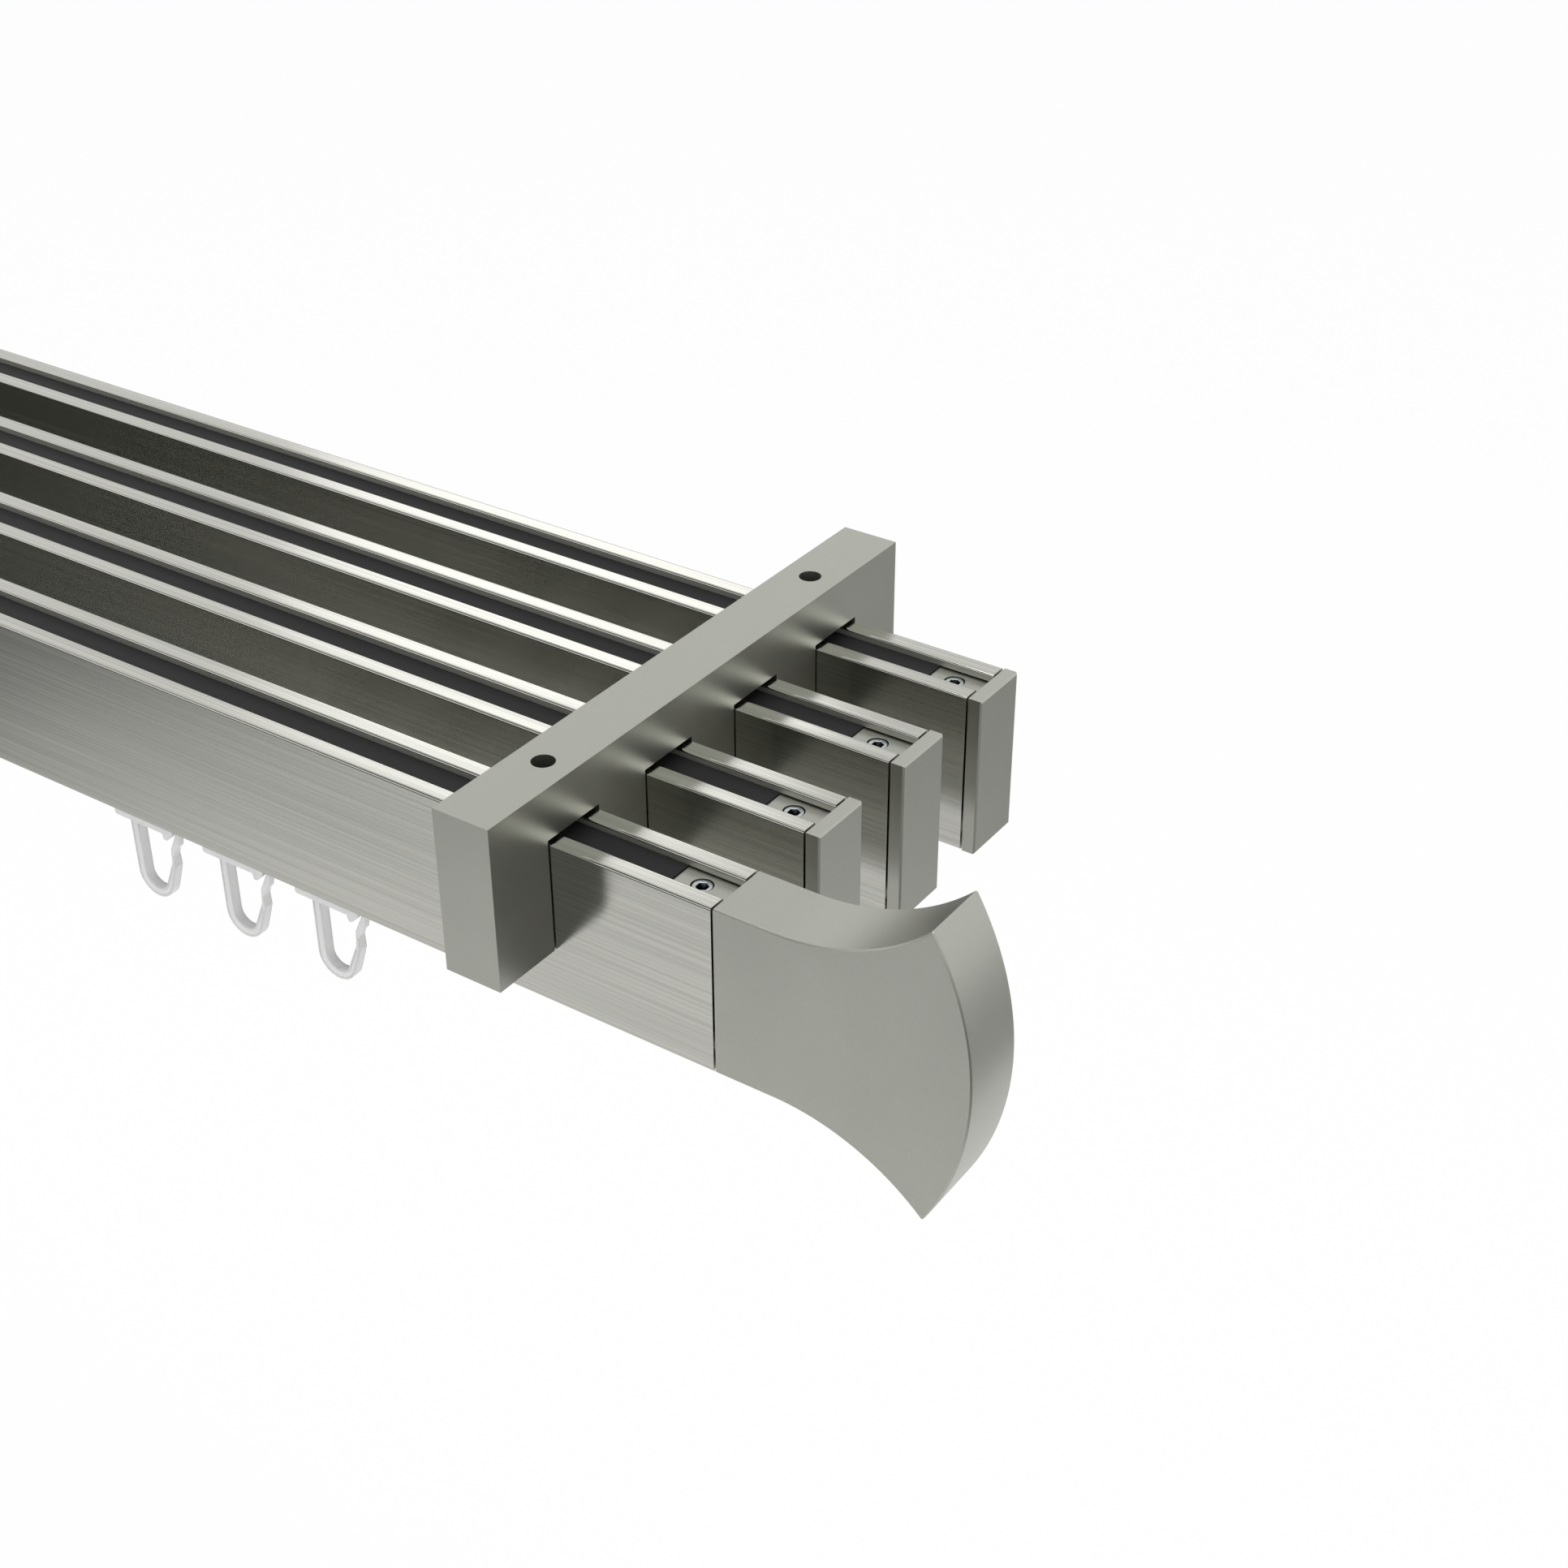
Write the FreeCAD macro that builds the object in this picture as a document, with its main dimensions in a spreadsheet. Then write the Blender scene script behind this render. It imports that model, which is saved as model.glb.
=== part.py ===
import FreeCAD, Part
import math
import os
import Sketcher

# Curtain rod for the ceiling: four rectangular inner-run rails side by side, hung in two comb
# brackets. X runs along the rails, Y across them with rail 1 in front, Z is up. The origin is
# the centre of the four ceiling screws, on the ceiling face of the brackets. All lengths are
# millimetres, all angles degrees.

doc = FreeCAD.newDocument("CurtainRod")

SIZES = (
    ("rail_length", "1000", "length of every rail"),
    ("rail_count", "4", "rails side by side"),
    ("rail_pitch", "28", "rail centre to rail centre"),
    ("rail_width", "14", "rail section, across"),
    ("rail_height", "35", "rail section, upright"),
    ("rail_wall", "1.5", "side walls of the rail"),
    ("web_thickness", "1.5", "webs that close the two channels"),
    ("lip_thickness", "1.55", "lips beside the slots"),
    ("slot_width", "6.5", "slot between the lips"),
    ("top_channel", "5.1", "rail top to the floor of the upper channel"),
    ("bottom_channel", "5", "rail underside to the roof of the lower channel"),
    ("rail_round", "0.5", "rounding of the rail's upper edges"),
    ("rail_edge", "0.3", "bevel of the rail's lower edges"),
    ("rail_drop", "11.25", "ceiling to the rail tops"),
    ("liner_side", "0.2", "liner to channel wall, each side"),
    ("liner_top", "0.05", "liner to the underside of the lips"),
    ("liner_wall", "1", "wall of the liner"),
    ("liner_end", "0.1", "liner to the tongue beside it"),
    ("bracket_thickness", "12.3", "bracket along the rails"),
    ("bracket_height", "34", "bracket below the ceiling"),
    ("bracket_overhang", "15.3", "bracket past the outer rails"),
    ("bracket_inset", "34.5", "rail end to the bracket"),
    ("notch_side", "0.25", "rail to notch wall, each side"),
    ("notch_top", "0.75", "rail top to notch roof"),
    ("ceiling_hole", "4.5", "ceiling screw hole, diameter"),
    ("counterbore", "8.6", "counterbore for the screw's head, diameter"),
    ("counterbore_depth", "2.5", "depth of the counterbore in the notch roof"),
    ("clamp_angle", "45", "clamp screw from the vertical"),
    ("clamp_length", "5.5", "length of the clamp screw"),
    ("clamp_seat", "0.05", "clamp screw's end to the rail"),
    ("screw_size", "4", "grub screws, diameter"),
    ("screw_play", "0.05", "clamp screw to its hole, radial"),
    ("key_size", "2", "hexagon socket across flats"),
    ("key_depth", "1.5", "depth of the hexagon socket"),
    ("end_gap", "0.45", "rail end to the end pieces"),
    ("tongue_side", "0.2", "tongue to channel wall, each side"),
    ("tongue_top", "0.35", "tongue to the underside of the lips"),
    ("tongue_thickness", "3", "tongue of the end pieces"),
    ("tongue_reach", "11.9", "tongue into the rail"),
    ("tongue_hole", "4.2", "screw hole in the tongue, diameter"),
    ("tongue_screw", "3", "length of the tongue's grub screw"),
    ("tongue_screw_inset", "6.75", "rail end to the tongue's screw"),
    ("cap_thickness", "2.9", "plate of the end cap"),
    ("cap_edge", "0.35", "bevel of the cap's outer edges"),
    ("finial_flat", "12.4", "rail end to the start of the flare"),
    ("flare_radius", "43", "concave flare of the finial"),
    ("flare_rise", "12.65", "tips above and below the rail"),
    ("front_radius", "58.3", "convex end of the finial"),
    ("finial_edge", "0.3", "bevel of the finial's edges"),
    ("glider_count", "3", "gliders on each rail"),
    ("glider_pitch", "25.75", "glider to glider"),
    ("glider_start", "98.35", "rail end to the first glider"),
    ("glide_gap", "0.05", "glider head to the lips"),
    ("head_length", "12", "glider head along the rail"),
    ("head_thickness", "2", "glider head"),
    ("head_side", "0.3", "glider head to channel wall, each side"),
    ("head_corner", "1", "bevel of the head's corners"),
    ("neck_length", "6", "neck along the rail"),
    ("neck_side", "0.25", "neck to the lips, each side"),
    ("neck_drop", "0.8", "end of the straight neck below the rail"),
    ("hook_depth", "2", "hook and bar across the rail"),
    ("bar_drop", "7.1", "underside of the bar below the rail"),
    ("bar_height", "2.5", "bar that carries the hook"),
    ("bar_left", "8.6", "bar beside the neck, closed side"),
    ("bar_right", "8.25", "bar beside the neck, open side"),
    ("bar_corner", "0.3", "bevel of the bar's lower corner"),
    ("tooth_start", "5.2", "neck axis to the snap tooth"),
    ("tooth_height", "1.35", "snap tooth below the bar"),
    ("tooth_width", "1.2", "snap tooth along the bar"),
    ("tooth_draft", "0.3", "slope of the tooth's steep side"),
    ("tooth_edge", "0.2", "bevel of the tooth"),
    ("leg_outer", "4", "neck axis to the outside of the leg"),
    ("leg_width", "2.35", "rigid leg of the hook"),
    ("hook_reach", "24.3", "hook below the rail"),
    ("hook_floor", "2.24", "bottom of the hook"),
    ("bend_outer", "5", "outer bend of the hook"),
    ("bend_inner", "3.04", "inner bend of the hook"),
    ("lean_outer", "19", "outside of the spring arm from the vertical"),
    ("lean_inner", "22.5", "inside of the spring arm from the vertical"),
    ("knee_rise", "8.3", "outer knee of the arm above the hook's bottom"),
    ("shoulder_rise", "9.8", "shoulder of the arm above the hook's bottom"),
    ("shoulder_out", "7.9", "shoulder from the neck axis"),
    ("waist_drop", "11.6", "waist of the arm below the rail"),
    ("waist_out", "7.8", "outside of the waist"),
    ("waist_in", "6.85", "inside of the waist"),
    ("inner_rise", "10.3", "inner knee of the arm above the hook's bottom"),
    ("throat_drop", "10.5", "start of the flared tip, inside"),
    ("barb_base", "10.2", "start of the barb below the rail"),
    ("barb_drop", "9", "barb below the rail"),
    ("barb_out", "9.3", "barb from the neck axis"),
    ("tip_drop", "5.9", "end of the arm below the rail"),
    ("tip_out", "10", "outside of the tip"),
    ("tip_width", "0.9", "tip of the arm"),
    ("arm_taper", "0.35", "taper of the arm's faces, each side"),
)

sheet = doc.addObject("Spreadsheet::Sheet", "Dim")
for row, (alias, value, meaning) in enumerate(SIZES, 1):
    sheet.set("A%d" % row, meaning)
    sheet.set("B%d" % row, value)
    sheet.setAlias("B%d" % row, alias)
work = doc.addObject("Spreadsheet::Sheet", "Work")
doc.recompute()

bodies = []


def number(expression):
    """Value of a formula on the sheet's sizes, where a sketch starts from."""
    work.set("A1", "=" + expression)
    work.recompute()
    return float(work.get("A1"))


def new_body(label, place=("0", "0", "0"), axis=FreeCAD.Vector(0, 0, 1), turn="0"):
    """An empty body at a place given by three formulas, turned about one axis."""
    body = doc.addObject("PartDesign::Body", label)
    body.Label = label
    position = FreeCAD.Vector(*[number(part) for part in place])
    body.Placement = FreeCAD.Placement(position, FreeCAD.Rotation(axis, number(turn)))
    for letter, part in zip("xyz", place):
        body.setExpression("Placement.Base." + letter, part)
    body.setExpression("Placement.Rotation.Angle", turn)
    bodies.append(body)
    return body


def origin_part(body, role):
    """One of the body's own origin planes or axes."""
    for feature in body.Origin.OriginFeatures:
        if feature.Role == role:
            return feature
    raise RuntimeError("no origin part " + role)


def new_sketch(body, name, role, offset=None):
    """A sketch on an origin plane, moved along its normal where an offset is given."""
    sketch = body.newObject("Sketcher::SketchObject", name)
    sketch.AttachmentSupport = (origin_part(body, role), [""])
    sketch.MapMode = "FlatFace"
    if offset:
        sketch.setExpression("AttachmentOffset.Base.z", offset)
    return sketch


def arc_between(start, end, radius, turn):
    """Arc under half a circle; turn is 1 counter-clockwise and -1 clockwise."""
    chord = end - start
    reach = math.sqrt(radius ** 2 - (chord.Length / 2) ** 2)
    side = FreeCAD.Vector(-chord.y, chord.x, 0).normalize() * reach * turn
    centre = (start + end) / 2 + side
    first, last = (start, end) if turn > 0 else (end, start)
    low = math.atan2(first.y - centre.y, first.x - centre.x)
    high = math.atan2(last.y - centre.y, last.x - centre.x)
    if high < low:
        high += 2 * math.pi
    circle = Part.Circle(centre, FreeCAD.Vector(0, 0, 1), radius)
    return Part.ArcOfCircle(circle, low, high)


def draw(sketch, corners, arcs=()):
    """Closed outline through corners given as formulas; arcs replace the side after a corner."""
    rounded = {index: (radius, turn) for index, radius, turn in arcs}
    points = [FreeCAD.Vector(number(across), number(up), 0) for across, up in corners]
    first = sketch.GeometryCount
    ends = []
    for index, start in enumerate(points):
        end = points[(index + 1) % len(points)]
        if index in rounded:
            radius, turn = rounded[index]
            side = sketch.addGeometry(arc_between(start, end, number(radius), turn), False)
            key = sketch.addConstraint(Sketcher.Constraint("Radius", side, number(radius)))
            sketch.setExpression("Constraints[%d]" % key, radius)
            ends.append((1, 2) if turn > 0 else (2, 1))
        else:
            sketch.addGeometry(Part.LineSegment(start, end), False)
            ends.append((1, 2))
    for index, (across, up) in enumerate(corners):
        before = index - 1 if index else len(corners) - 1
        joint = Sketcher.Constraint(
            "Coincident", first + before, ends[before][1], first + index, ends[index][0])
        sketch.addConstraint(joint)
        for kind, formula, value in (
                ("DistanceX", across, points[index].x), ("DistanceY", up, points[index].y)):
            size = Sketcher.Constraint(kind, -1, 1, first + index, ends[index][0], value)
            key = sketch.addConstraint(size)
            sketch.setExpression("Constraints[%d]" % key, formula)
    return sketch


def circle(sketch, across, up, diameter):
    """A circle with its centre and its diameter given as formulas."""
    centre = FreeCAD.Vector(number(across), number(up), 0)
    ring = sketch.addGeometry(
        Part.Circle(centre, FreeCAD.Vector(0, 0, 1), number(diameter) / 2), False)
    for constraint, formula in (
            (Sketcher.Constraint("DistanceX", -1, 1, ring, 3, centre.x), across),
            (Sketcher.Constraint("DistanceY", -1, 1, ring, 3, centre.y), up),
            (Sketcher.Constraint("Diameter", ring, number(diameter)), diameter)):
        key = sketch.addConstraint(constraint)
        sketch.setExpression("Constraints[%d]" % key, formula)
    return sketch


def box_corners(left, right, low, high):
    """Corners of a rectangle, counter-clockwise."""
    return [(left, low), (right, low), (right, high), (left, high)]


def extrude(body, kind, name, sketch, length, side="One side", reverse=False):
    """Pad or Pocket of one sketch."""
    feature = body.newObject("PartDesign::" + kind, name)
    feature.Profile = sketch
    feature.SideType = side
    feature.Reversed = reverse
    feature.setExpression("Length", length)
    doc.recompute()
    return feature


def turn_profile(body, kind, name, sketch):
    """Revolution or Groove of one sketch about its upright axis."""
    feature = body.newObject("PartDesign::" + kind, name)
    feature.Profile = sketch
    feature.ReferenceAxis = (sketch, ["V_Axis"])
    feature.Angle = 360
    doc.recompute()
    return feature


def row_along_y(body, name, feature, length, copies):
    """The feature repeated along Y, copies of it over the given length."""
    pattern = body.newObject("PartDesign::LinearPattern", name)
    pattern.Originals = [feature]
    pattern.Direction = (origin_part(body, "Y_Axis"), [""])
    pattern.setExpression("Length", length)
    pattern.setExpression("Occurrences", copies)
    body.Tip = pattern
    doc.recompute()
    return pattern


def soften(body, kind, name, base, chosen, size):
    """Fillet or Chamfer on the edges of the base that the test chooses."""
    edges = ["Edge%d" % (index + 1) for index, edge in enumerate(base.Shape.Edges) if chosen(edge)]
    feature = body.newObject("PartDesign::" + kind, name)
    feature.Base = (base, edges)
    feature.setExpression("Radius" if kind == "Fillet" else "Size", size)
    doc.recompute()
    return feature


def bevel(body, name, base, chosen, size):
    """Chamfer on the edges of the base that the test chooses."""
    return soften(body, "Chamfer", name, base, chosen, size)


def near(one, other):
    return abs(one - other) < 1e-6


def along(edge, letter):
    """True for a straight edge parallel to one axis."""
    if not isinstance(edge.Curve, (Part.Line, Part.LineSegment)):
        return False
    low, high = edge.Vertexes[0].Point, edge.Vertexes[-1].Point
    return all(near(getattr(low, other), getattr(high, other)) for other in "xyz" if other != letter)


def rail_y(rail):
    """Centre of a rail, rail 1 in front."""
    return "(%d - (Dim.rail_count + 1) / 2) * Dim.rail_pitch" % rail


RAIL_TOP = "-Dim.rail_drop"
RAIL_END = "Dim.rail_length / 2"
HALF = "Dim.rail_width / 2"
SLOT = "Dim.slot_width / 2"
CHANNEL = "(Dim.rail_width / 2 - Dim.rail_wall)"
rails = range(1, int(number("Dim.rail_count")) + 1)
gliders = range(1, int(number("Dim.glider_count")) + 1)


# Rail: a drawn section with a slotted channel at the top and at the bottom and a closed
# chamber between them. Its own origin is the middle of the top face.
def make_rail(rail):
    body = new_body("rail_%d" % rail, ("0", rail_y(rail), RAIL_TOP))
    section = new_sketch(body, "Section", "YZ_Plane")
    bottom = "-Dim.rail_height"
    upper_lip = "-Dim.lip_thickness"
    upper_floor = "-Dim.top_channel"
    lower_lip = "Dim.lip_thickness - Dim.rail_height"
    lower_roof = "Dim.bottom_channel - Dim.rail_height"
    right_side = [
        (HALF, bottom), (HALF, "0"), (SLOT, "0"), (SLOT, upper_lip),
        (CHANNEL, upper_lip), (CHANNEL, upper_floor)]
    left_side = [
        ("-" + CHANNEL, upper_floor), ("-" + CHANNEL, upper_lip), ("-" + SLOT, upper_lip),
        ("-" + SLOT, "0"), ("-" + HALF, "0"), ("-" + HALF, bottom)]
    lower_channel = [
        ("-" + SLOT, bottom), ("-" + SLOT, lower_lip), ("-" + CHANNEL, lower_lip),
        ("-" + CHANNEL, lower_roof), (CHANNEL, lower_roof), (CHANNEL, lower_lip),
        (SLOT, lower_lip), (SLOT, bottom)]
    draw(section, right_side + left_side + lower_channel)
    chamber = box_corners(
        "-" + CHANNEL, CHANNEL, lower_roof + " + Dim.web_thickness", upper_floor + " - Dim.web_thickness")
    draw(section, chamber)
    profile = extrude(body, "Pad", "Profile", section, "Dim.rail_length", "Symmetric")
    height = number("Dim.rail_height")
    sides = (number(HALF), number(SLOT))

    def long_edge(edge, level):
        point = edge.Vertexes[0].Point
        return along(edge, "x") and near(point.z, level) and any(near(abs(point.y), side) for side in sides)

    lower = bevel(body, "LowerEdges", profile, lambda edge: long_edge(edge, -height), "Dim.rail_edge")
    soften(body, "Fillet", "UpperEdges", lower, lambda edge: long_edge(edge, 0), "Dim.rail_round")


# Liner: a dark inverted trough under the lips of the upper channel, from tongue to tongue.
def make_liner(rail):
    body = new_body("liner_%d" % rail, ("0", rail_y(rail), RAIL_TOP))
    outside = "(Dim.rail_width / 2 - Dim.rail_wall - Dim.liner_side)"
    inside = "(Dim.rail_width / 2 - Dim.rail_wall - Dim.liner_side - Dim.liner_wall)"
    roof = "-(Dim.lip_thickness + Dim.liner_top)"
    floor = "-Dim.top_channel"
    section = new_sketch(body, "Section", "YZ_Plane")
    draw(section, [
        ("-" + outside, floor), ("-" + inside, floor), ("-" + inside, roof + " - Dim.liner_wall"),
        (inside, roof + " - Dim.liner_wall"), (inside, floor), (outside, floor),
        (outside, roof), ("-" + outside, roof)])
    length = "Dim.rail_length - 2 * (Dim.tongue_reach + Dim.liner_end)"
    extrude(body, "Pad", "Trough", section, length, "Symmetric")


# Bracket: a flat comb whose notches straddle the rails. Two screws go up into the ceiling from
# the notches over the outer rails, and each rail is clamped by a grub screw from the underside
# of the tooth behind it. Its own origin is the middle of the ceiling face.
def make_bracket(label, sign):
    place = "%s(Dim.rail_length / 2 - Dim.bracket_inset - Dim.bracket_thickness / 2)" % sign
    body = new_body(label, (place, "0", "0"))
    span = "(Dim.rail_count - 1) * Dim.rail_pitch"
    half_length = "(%s / 2 + Dim.rail_width / 2 + Dim.bracket_overhang)" % span
    block = new_sketch(body, "Block", "YZ_Plane")
    draw(block, box_corners("-" + half_length, half_length, "-Dim.bracket_height", "0"))
    extrude(body, "Pad", "Plate", block, "Dim.bracket_thickness", "Symmetric")

    first_rail = rail_y(1)
    notch_half = "(Dim.rail_width / 2 + Dim.notch_side)"
    notch_roof = "Dim.notch_top - Dim.rail_drop"
    notch = new_sketch(body, "Notch", "YZ_Plane")
    draw(notch, box_corners(
        first_rail + " - " + notch_half, first_rail + " + " + notch_half,
        "-(Dim.bracket_height + 1)", notch_roof))
    slot = extrude(
        body, "Pocket", "FirstNotch", notch, "Dim.bracket_thickness + 2", "Symmetric")
    row_along_y(body, "Notches", slot, span, "Dim.rail_count")

    hole = new_sketch(body, "CeilingHole", "XZ_Plane", span + " / 2")
    shoulder = notch_roof + " + Dim.counterbore_depth"
    draw(hole, [
        ("0", notch_roof + " - 1"), ("Dim.counterbore / 2", notch_roof + " - 1"),
        ("Dim.counterbore / 2", shoulder), ("Dim.ceiling_hole / 2", shoulder),
        ("Dim.ceiling_hole / 2", "1"), ("0", "1")])
    bore = turn_profile(body, "Groove", "FirstCeilingHole", hole)
    row_along_y(body, "CeilingHoles", bore, span, "2")

    clamp = new_sketch(body, "ClampHole", "XY_Plane")
    clamp.AttachmentOffset = FreeCAD.Placement(
        FreeCAD.Vector(0, 0, 0), FreeCAD.Rotation(FreeCAD.Vector(1, 0, 0), number("Dim.clamp_angle")))
    clamp.setExpression("AttachmentOffset.Base.y", first_rail + " + Dim.rail_pitch / 2")
    clamp.setExpression("AttachmentOffset.Base.z", "-Dim.bracket_height")
    clamp.setExpression("AttachmentOffset.Rotation.Angle", "Dim.clamp_angle")
    circle(clamp, "0", "0", "Dim.screw_size + 2 * Dim.screw_play")
    through = "2 * ((Dim.rail_pitch - Dim.rail_width) / 2 / sin(Dim.clamp_angle) + Dim.screw_size)"
    tapped = extrude(body, "Pocket", "FirstClampHole", clamp, through, "Symmetric")
    row_along_y(body, "ClampHoles", tapped, span, "Dim.rail_count")


# Tongue of an end piece: it lies in the upper channel under the lips, with one screw hole.
def add_tongue(body):
    half = "(Dim.rail_width / 2 - Dim.rail_wall - Dim.tongue_side)"
    top = "-(Dim.lip_thickness + Dim.tongue_top)"
    section = new_sketch(body, "TongueSection", "YZ_Plane", "Dim.end_gap")
    draw(section, box_corners("-" + half, half, top + " - Dim.tongue_thickness", top))
    extrude(body, "Pad", "Tongue", section, "Dim.tongue_reach + Dim.end_gap", reverse=True)
    ring = new_sketch(body, "TongueHole", "XY_Plane")
    circle(ring, "-Dim.tongue_screw_inset", "0", "Dim.tongue_hole")
    extrude(body, "Pocket", "ScrewHole", ring, "Dim.top_channel + 1")


def end_place(side, rail):
    """Place and turn of an end piece, whose own origin is the middle of the rail's top end."""
    sign = "" if side == "right" else "-"
    return (sign + RAIL_END, rail_y(rail), RAIL_TOP), "0" if side == "right" else "180"


# Finial: the rail's section drawn out into a flare, concave above and below and convex at its
# end, which is the piece's most shaped form.
def make_finial(side):
    place, turn = end_place(side, 1)
    body = new_body("finial_" + side, place, turn=turn)
    run = "sqrt(2 * Dim.flare_radius * Dim.flare_rise - Dim.flare_rise ^ 2)"
    tip = "Dim.finial_flat + " + run
    low = "-Dim.rail_height"
    shape = new_sketch(body, "Flare", "XZ_Plane")
    draw(shape, [
        ("Dim.end_gap", low), ("Dim.finial_flat", low), (tip, low + " - Dim.flare_rise"),
        (tip, "Dim.flare_rise"), ("Dim.finial_flat", "0"), ("Dim.end_gap", "0")],
        [(1, "Dim.flare_radius", -1), (2, "Dim.front_radius", 1), (3, "Dim.flare_radius", -1)])
    block = extrude(body, "Pad", "Block", shape, "Dim.rail_width", "Symmetric")
    half, start = number(HALF), number("Dim.end_gap")

    def outer_edge(edge):
        box = edge.BoundBox
        if near(box.XMin, start) and near(box.XMax, start):
            return False
        side_line = near(box.YMin, box.YMax) and near(abs(box.YMin), half)
        point = edge.Vertexes[0].Point
        return side_line or (along(edge, "y") and near(point.x, number(tip)))

    bevel(body, "Edges", block, outer_edge, "Dim.finial_edge")
    add_tongue(body)


# End cap: a plain plate of the rail's outline with the same tongue.
def make_cap(side, rail):
    place, turn = end_place(side, rail)
    body = new_body("end_cap_%s_%d" % (side, rail), place, turn=turn)
    outline = new_sketch(body, "Outline", "YZ_Plane", "Dim.end_gap")
    draw(outline, box_corners("-" + HALF, HALF, "-Dim.rail_height", "0"))
    plate = extrude(body, "Pad", "Plate", outline, "Dim.cap_thickness")
    face = number("Dim.end_gap + Dim.cap_thickness")

    def face_edge(edge):
        return near(edge.BoundBox.XMin, face) and near(edge.BoundBox.XMax, face)

    bevel(body, "FaceEdges", plate, face_edge, "Dim.cap_edge")
    add_tongue(body)


# Grub screw: a plain cylinder whose own origin is the middle of the socket end, with its flat
# point below.
def make_screw(label, place, length, axis=FreeCAD.Vector(0, 0, 1), turn="0"):
    body = new_body(label, place, axis, turn)
    round_end = new_sketch(body, "Circle", "XY_Plane")
    circle(round_end, "0", "0", "Dim.screw_size")
    extrude(body, "Pad", "Shank", round_end, length, reverse=True)
    corner = "Dim.key_size / sqrt(3)"
    hexagon = new_sketch(body, "Hexagon", "XY_Plane")
    draw(hexagon, [
        ("%s * cos(%d)" % (corner, step), "%s * sin(%d)" % (corner, step))
        for step in range(0, 360, 60)])
    extrude(body, "Pocket", "Socket", hexagon, "Dim.key_depth")


def make_tongue_screw(side, rail):
    sign = "" if side == "right" else "-"
    place = (
        sign + "(Dim.rail_length / 2 - Dim.tongue_screw_inset)", rail_y(rail),
        "Dim.tongue_screw - Dim.top_channel - Dim.rail_drop")
    make_screw("tongue_screw_%s_%d" % (side, rail), place, "Dim.tongue_screw")


def make_clamp_screw(side, rail):
    sign = "" if side == "right" else "-"
    edge_lead = "Dim.screw_size / 2 / tan(Dim.clamp_angle)"
    reach = "(Dim.clamp_length + %s + Dim.clamp_seat / sin(Dim.clamp_angle))" % edge_lead
    drop = "(Dim.rail_pitch - Dim.rail_width) / 2 / tan(Dim.clamp_angle) - Dim.bracket_height"
    place = (
        sign + "(Dim.rail_length / 2 - Dim.bracket_inset - Dim.bracket_thickness / 2)",
        "%s + Dim.rail_width / 2 + %s * sin(Dim.clamp_angle)" % (rail_y(rail), reach),
        "%s - %s * cos(Dim.clamp_angle)" % (drop, reach))
    make_screw(
        "clamp_screw_%s_%d" % (side, rail), place, "Dim.clamp_length",
        FreeCAD.Vector(1, 0, 0), "Dim.clamp_angle - 180")


# Glider: a flat head that rides on the lips of the lower channel, a neck through the slot, a
# tapered shank and a bar with the curtain hook, whose spring arm snaps shut behind the bar's
# tooth. Its own origin is on the neck's axis at the rail's underside.
def draw_hook(sketch):
    outer = "-Dim.leg_outer"
    inner = "(Dim.leg_width - Dim.leg_outer)"
    root = "-(Dim.bar_drop - Dim.bar_height / 2)"
    outer_x = "(Dim.bend_outer - Dim.leg_outer)"
    outer_z = "(Dim.bend_outer - Dim.hook_reach)"
    inner_x = "(%s + Dim.bend_inner)" % inner
    inner_z = "(Dim.hook_floor + Dim.bend_inner - Dim.hook_reach)"
    leave_x = "(%s + Dim.bend_outer * cos(Dim.lean_outer))" % outer_x
    leave_z = "(%s - Dim.bend_outer * sin(Dim.lean_outer))" % outer_z
    meet_x = "(%s + Dim.bend_inner * cos(Dim.lean_inner))" % inner_x
    meet_z = "(%s - Dim.bend_inner * sin(Dim.lean_inner))" % inner_z
    knee = "(Dim.knee_rise - Dim.hook_reach)"
    inner_knee = "(Dim.inner_rise - Dim.hook_reach)"
    knee_x = "%s + (%s - %s) * tan(Dim.lean_outer)" % (leave_x, knee, leave_z)
    inner_knee_x = "%s + (%s - %s) * tan(Dim.lean_inner)" % (meet_x, inner_knee, meet_z)
    draw(sketch, [
        (outer, root), (outer, outer_z), (leave_x, leave_z), (knee_x, knee),
        ("Dim.shoulder_out", "Dim.shoulder_rise - Dim.hook_reach"),
        ("Dim.waist_out", "-Dim.waist_drop"),
        ("Dim.waist_out + (Dim.waist_drop - Dim.barb_base) / 3", "-Dim.barb_base"),
        ("Dim.barb_out", "-Dim.barb_drop"), ("Dim.tip_out", "-Dim.tip_drop"),
        ("Dim.tip_out - Dim.tip_width", "-Dim.tip_drop"),
        ("Dim.waist_in + 0.1", "-Dim.throat_drop"), (inner_knee_x, inner_knee),
        (meet_x, meet_z), (inner, inner_z), (inner, root)],
        [(1, "Dim.bend_outer", 1), (12, "Dim.bend_inner", -1)])
    return sketch


def draw_bar(sketch):
    top = "-(Dim.bar_drop - Dim.bar_height)"
    under = "-Dim.bar_drop"
    tooth = "-(Dim.bar_drop + Dim.tooth_height)"
    tooth_end = "Dim.tooth_start + Dim.tooth_width"
    draw(sketch, [
        ("-Dim.bar_left", top), ("-Dim.bar_left", under + " + Dim.bar_corner"),
        ("Dim.bar_corner - Dim.bar_left", under), ("Dim.tooth_start", under),
        ("Dim.tooth_start + Dim.tooth_draft", tooth), (tooth_end, tooth),
        ("Dim.bar_right", "%s + Dim.bar_right - (%s)" % (tooth, tooth_end)),
        ("Dim.bar_right", top)])
    return sketch


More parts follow.
